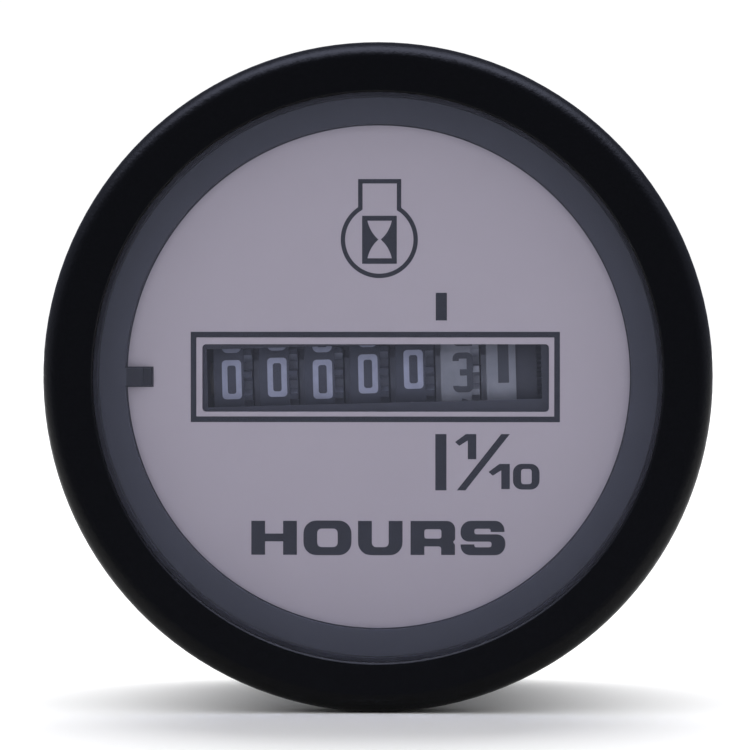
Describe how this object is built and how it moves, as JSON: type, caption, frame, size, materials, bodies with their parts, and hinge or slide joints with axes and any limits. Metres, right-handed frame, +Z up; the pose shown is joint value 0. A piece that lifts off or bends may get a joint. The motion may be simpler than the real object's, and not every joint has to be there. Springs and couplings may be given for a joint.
{
  "type": "panel hour meter",
  "caption": "Round panel-mounted electric running-time counter with a black bezel, a pale dial, a drum counter behind a window, and a rear clamp strap.",
  "frame": {"origin": "on the barrel's axis, in the plane where the bezel's back face meets the panel gasket", "axes": "+X right as the dial is read, +Y along the barrel back into the panel, +Z up"},
  "size_m": [0.06, 0.063, 0.06],
  "materials": {
    "black_paint": "satin black enamel on rolled steel, fine texture",
    "clear_glass": "flat clear mineral glass",
    "seal_rubber": "matte black rubber",
    "grey_plastic": "matte dark grey",
    "dial_print": "matte pale lavender grey paint with dark grey print",
    "black_plastic": "moulded black, fine spark texture",
    "mask_black": "matte black",
    "zinc_steel": "zinc plated sheet steel",
    "steel_pin": "ground steel",
    "spring_steel": "plain spring steel",
    "natural_nylon": "natural acetal",
    "wheel_black": "matte black with pale figures",
    "wheel_white": "matte pale grey with dark figures",
    "ferrite": "dark ferrite",
    "silicon_steel": "dark laminated steel",
    "copper_wire": "enamelled copper wire",
    "brass": "turned brass",
    "zinc_screw": "bright zinc plate",
    "board_green": "green solder mask",
    "chip_black": "moulded epoxy",
    "capacitor_sleeve": "shrink sleeve over an aluminium can",
    "resistor_body": "lacquered film resistor",
    "tinned_brass": "tin plated brass",
    "bracket_steel": "zinc plated strap"
  },
  "bodies": {
    "case": {"bezel": "black_paint", "lens": "clear_glass", "lens_seal": "seal_rubber", "spacer_ring": "grey_plastic", "dial": "dial_print", "case": "black_plastic", "panel_gasket": "seal_rubber", "counter_mask": "mask_black", "counter_frame": "zinc_steel", "motor_plate": "zinc_steel", "wheel_shaft": "steel_pin", "shaft_clips": "spring_steel", "pinion_shaft": "steel_pin", "wheel_spacers": "natural_nylon", "third_gear_pin": "steel_pin", "second_gear_pin": "steel_pin", "stator": "silicon_steel", "coil_core": "silicon_steel", "coil_bobbin": "natural_nylon", "coil_winding": "copper_wire", "motor_spacers": "brass", "motor_screws": "zinc_screw", "plate_screws": "zinc_screw", "circuit_board": "board_green", "board_pillars": "brass", "board_screws": "zinc_screw", "quartz_crystal": "spring_steel", "driver_chip": "chip_black", "smoothing_capacitor": "capacitor_sleeve", "resistors": "resistor_body", "supply_diode": "chip_black", "blade_terminals": "tinned_brass", "studs": "zinc_screw", "stud_spacers": "brass", "case_washers": "zinc_screw", "case_nuts": "zinc_screw"},
    "clamp": {"clamp_bracket": "bracket_steel", "clamp_spring_washers": "spring_steel", "clamp_nuts": "zinc_screw"},
    "ten_thousands": {"ten_thousands_wheel": "wheel_black"},
    "thousands": {"thousands_wheel": "wheel_black"},
    "hundreds": {"hundreds_wheel": "wheel_black"},
    "tens": {"tens_wheel": "wheel_black"},
    "units": {"units_wheel": "wheel_black"},
    "tenths": {"tenths_wheel": "wheel_white"},
    "hundredths": {"hundredths_wheel": "wheel_white", "drive_gear": "mask_black"},
    "transfer_pinion_1": {"transfer_pinion_1": "natural_nylon"},
    "transfer_pinion_2": {"transfer_pinion_2": "natural_nylon"},
    "transfer_pinion_3": {"transfer_pinion_3": "natural_nylon"},
    "transfer_pinion_4": {"transfer_pinion_4": "natural_nylon"},
    "transfer_pinion_5": {"transfer_pinion_5": "natural_nylon"},
    "transfer_pinion_6": {"transfer_pinion_6": "natural_nylon"},
    "third_gear": {"third_gear": "natural_nylon"},
    "second_gear": {"second_gear": "natural_nylon"},
    "rotor": {"rotor_pinion": "natural_nylon", "rotor_magnet": "ferrite", "rotor_shaft": "steel_pin"}
  },
  "joints": [
    {"name": "clamp_slide", "type": "slide", "parent": "case", "child": "clamp", "axis": [0, 1, 0], "range_m": [-0.001, 0.0035]},
    {"name": "hundredths_turn", "type": "hinge", "parent": "case", "child": "hundredths", "pos_m": [0, 0.0072, 0], "axis": [-0.9997, 0, -0.0262], "continuous": true},
    {"name": "transfer_pinion_6_turn", "type": "hinge", "parent": "case", "child": "transfer_pinion_6", "pos_m": [0.00015, 0.01385, -0.00558], "axis": [-0.9997, 0, -0.0262], "continuous": true},
    {"name": "tenths_turn", "type": "hinge", "parent": "case", "child": "tenths", "pos_m": [0, 0.0072, 0], "axis": [-0.9997, 0, -0.0262], "continuous": true},
    {"name": "transfer_pinion_5_turn", "type": "hinge", "parent": "case", "child": "transfer_pinion_5", "pos_m": [0.00015, 0.01385, -0.00558], "axis": [-0.9997, 0, -0.0262], "continuous": true},
    {"name": "units_turn", "type": "hinge", "parent": "case", "child": "units", "pos_m": [0, 0.0072, 0], "axis": [-0.9997, 0, -0.0262], "continuous": true},
    {"name": "transfer_pinion_4_turn", "type": "hinge", "parent": "case", "child": "transfer_pinion_4", "pos_m": [0.00015, 0.01385, -0.00558], "axis": [-0.9997, 0, -0.0262], "continuous": true},
    {"name": "tens_turn", "type": "hinge", "parent": "case", "child": "tens", "pos_m": [0, 0.0072, 0], "axis": [-0.9997, 0, -0.0262], "continuous": true},
    {"name": "transfer_pinion_3_turn", "type": "hinge", "parent": "case", "child": "transfer_pinion_3", "pos_m": [0.00015, 0.01385, -0.00558], "axis": [-0.9997, 0, -0.0262], "continuous": true},
    {"name": "hundreds_turn", "type": "hinge", "parent": "case", "child": "hundreds", "pos_m": [0, 0.0072, 0], "axis": [-0.9997, 0, -0.0262], "continuous": true},
    {"name": "transfer_pinion_2_turn", "type": "hinge", "parent": "case", "child": "transfer_pinion_2", "pos_m": [0.00015, 0.01385, -0.00558], "axis": [-0.9997, 0, -0.0262], "continuous": true},
    {"name": "thousands_turn", "type": "hinge", "parent": "case", "child": "thousands", "pos_m": [0, 0.0072, 0], "axis": [-0.9997, 0, -0.0262], "continuous": true},
    {"name": "transfer_pinion_1_turn", "type": "hinge", "parent": "case", "child": "transfer_pinion_1", "pos_m": [0.00015, 0.01385, -0.00558], "axis": [-0.9997, 0, -0.0262], "continuous": true},
    {"name": "ten_thousands_turn", "type": "hinge", "parent": "case", "child": "ten_thousands", "pos_m": [0, 0.0072, 0], "axis": [-0.9997, 0, -0.0262], "continuous": true},
    {"name": "third_gear_turn", "type": "hinge", "parent": "case", "child": "third_gear", "pos_m": [-0.00006, 0.01378, 0.00239], "axis": [-0.9997, 0, -0.0262], "continuous": true},
    {"name": "second_gear_turn", "type": "hinge", "parent": "case", "child": "second_gear", "pos_m": [-0.00009, 0.01929, 0.00337], "axis": [-0.9997, 0, -0.0262], "continuous": true},
    {"name": "rotor_turn", "type": "hinge", "parent": "case", "child": "rotor", "pos_m": [0, 0.02269, -0.00003], "axis": [-0.9997, 0, -0.0262], "continuous": true}
  ],
  "couplings": [
    {"joint": "transfer_pinion_6_turn", "follows": "hundredths_turn", "ratio": -0.25},
    {"joint": "tenths_turn", "follows": "hundredths_turn", "ratio": 0.1},
    {"joint": "transfer_pinion_5_turn", "follows": "hundredths_turn", "ratio": -0.025},
    {"joint": "units_turn", "follows": "hundredths_turn", "ratio": 0.01},
    {"joint": "transfer_pinion_4_turn", "follows": "hundredths_turn", "ratio": -0.0025},
    {"joint": "tens_turn", "follows": "hundredths_turn", "ratio": 0.001},
    {"joint": "transfer_pinion_3_turn", "follows": "hundredths_turn", "ratio": -0.00025},
    {"joint": "hundreds_turn", "follows": "hundredths_turn", "ratio": 0.0001},
    {"joint": "transfer_pinion_2_turn", "follows": "hundredths_turn", "ratio": -0.000025},
    {"joint": "thousands_turn", "follows": "hundredths_turn", "ratio": 0.00001},
    {"joint": "transfer_pinion_1_turn", "follows": "hundredths_turn", "ratio": -0.0000025},
    {"joint": "ten_thousands_turn", "follows": "hundredths_turn", "ratio": 0.000001},
    {"joint": "third_gear_turn", "follows": "hundredths_turn", "ratio": -6},
    {"joint": "second_gear_turn", "follows": "hundredths_turn", "ratio": 36},
    {"joint": "rotor_turn", "follows": "hundredths_turn", "ratio": -180}
  ]
}
